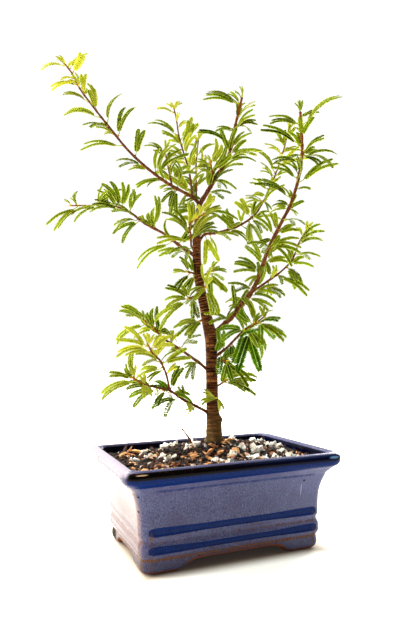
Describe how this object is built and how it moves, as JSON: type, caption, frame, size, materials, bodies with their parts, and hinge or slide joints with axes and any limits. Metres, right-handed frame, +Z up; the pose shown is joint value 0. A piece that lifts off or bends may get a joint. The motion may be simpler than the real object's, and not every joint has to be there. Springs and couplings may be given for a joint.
{
  "type": "powder puff bonsai in a pot",
  "caption": "Young powder puff tree trained as a bonsai, with feathered leaves, in a rectangular glazed footed pot filled with potting mix.",
  "frame": {"origin": "on the surface that the pot stands on, under the middle of the whole outline, tree included", "axes": "+X along the pot's long side, +Y from the pot's front to its back, +Z up"},
  "size_m": [0.219, 0.1549, 0.3591],
  "materials": {
    "pot_glaze": "glossy speckled blue glaze that breaks brown at the edges",
    "potting_mix": "coarse dark bark mix with cream perlite",
    "bark": "dark brown bark with fine rings",
    "leaf_green": "satin green leaflets, younger ones yellow-green",
    "drain_mesh": "black moulded plastic mesh"
  },
  "bodies": {
    "root": {"pot": "pot_glaze", "soil": "potting_mix", "trunk": "bark", "dead_stem": "bark", "drain_screen_left": "drain_mesh", "drain_screen_right": "drain_mesh", "leader": "leaf_green", "upper_left_branch": "leaf_green", "left_back_shoot": "leaf_green", "inner_back_shoot": "leaf_green", "left_inner_shoot": "leaf_green", "inner_front_shoot": "leaf_green", "right_back_branch": "leaf_green", "front_shoot": "leaf_green", "middle_left_branch": "leaf_green", "right_branch": "leaf_green", "right_side_shoot": "leaf_green", "low_left_upper_branch": "leaf_green", "low_left_lower_branch": "leaf_green", "low_left_shoot": "leaf_green", "low_right_branch": "leaf_green", "low_right_spur": "leaf_green", "lowest_spur": "leaf_green", "left_upper_spur": "leaf_green", "left_lower_spur": "leaf_green", "right_upper_spur": "leaf_green", "front_upper_spur": "leaf_green", "front_middle_spur": "leaf_green", "front_lower_spur": "leaf_green"}
  },
  "joints": []
}
